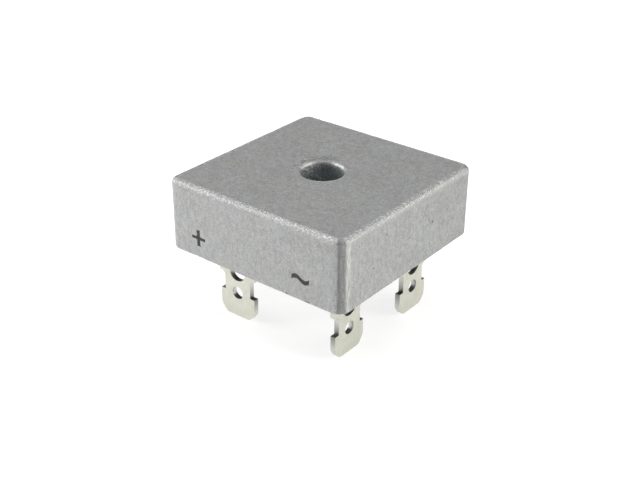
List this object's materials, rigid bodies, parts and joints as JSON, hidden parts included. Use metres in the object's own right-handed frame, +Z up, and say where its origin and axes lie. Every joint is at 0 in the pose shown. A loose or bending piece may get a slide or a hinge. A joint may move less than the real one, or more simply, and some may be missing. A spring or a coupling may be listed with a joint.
{
  "type": "bridge rectifier",
  "caption": "Square metal-case bridge rectifier with a centre screw hole and push-on tabs that hang below the potted underside.",
  "frame": {"origin": "on the screw-hole axis at the level of the tab tips, which is the bottom centre of the box of the whole part", "axes": "+Z up out of the flat mounting face, with the tabs below; -Y is the face with the polarity signs; +X is the side of the negative tab"},
  "size_m": [0.0286, 0.0286, 0.0204],
  "materials": {
    "case_aluminium": "blasted satin",
    "potting_resin": "cast, slightly glossy",
    "insulator_ceramic": "fired, matt",
    "plated_copper": "tin plated, satin",
    "silicon_die": "polished",
    "solder": "reflowed, bright"
  },
  "bodies": {
    "root": {"case": "case_aluminium", "potting": "potting_resin", "insulator_plate": "insulator_ceramic", "terminal_positive": "plated_copper", "terminal_negative": "plated_copper", "terminal_ac_front": "plated_copper", "terminal_ac_back": "plated_copper", "diode_positive_front": "silicon_die", "diode_positive_back": "silicon_die", "diode_negative_front": "silicon_die", "diode_negative_back": "silicon_die", "solder_below_positive_front": "solder", "solder_above_positive_front": "solder", "solder_below_positive_back": "solder", "solder_above_positive_back": "solder", "solder_below_negative_front": "solder", "solder_above_negative_front": "solder", "solder_below_negative_back": "solder", "solder_above_negative_back": "solder"}
  },
  "joints": []
}
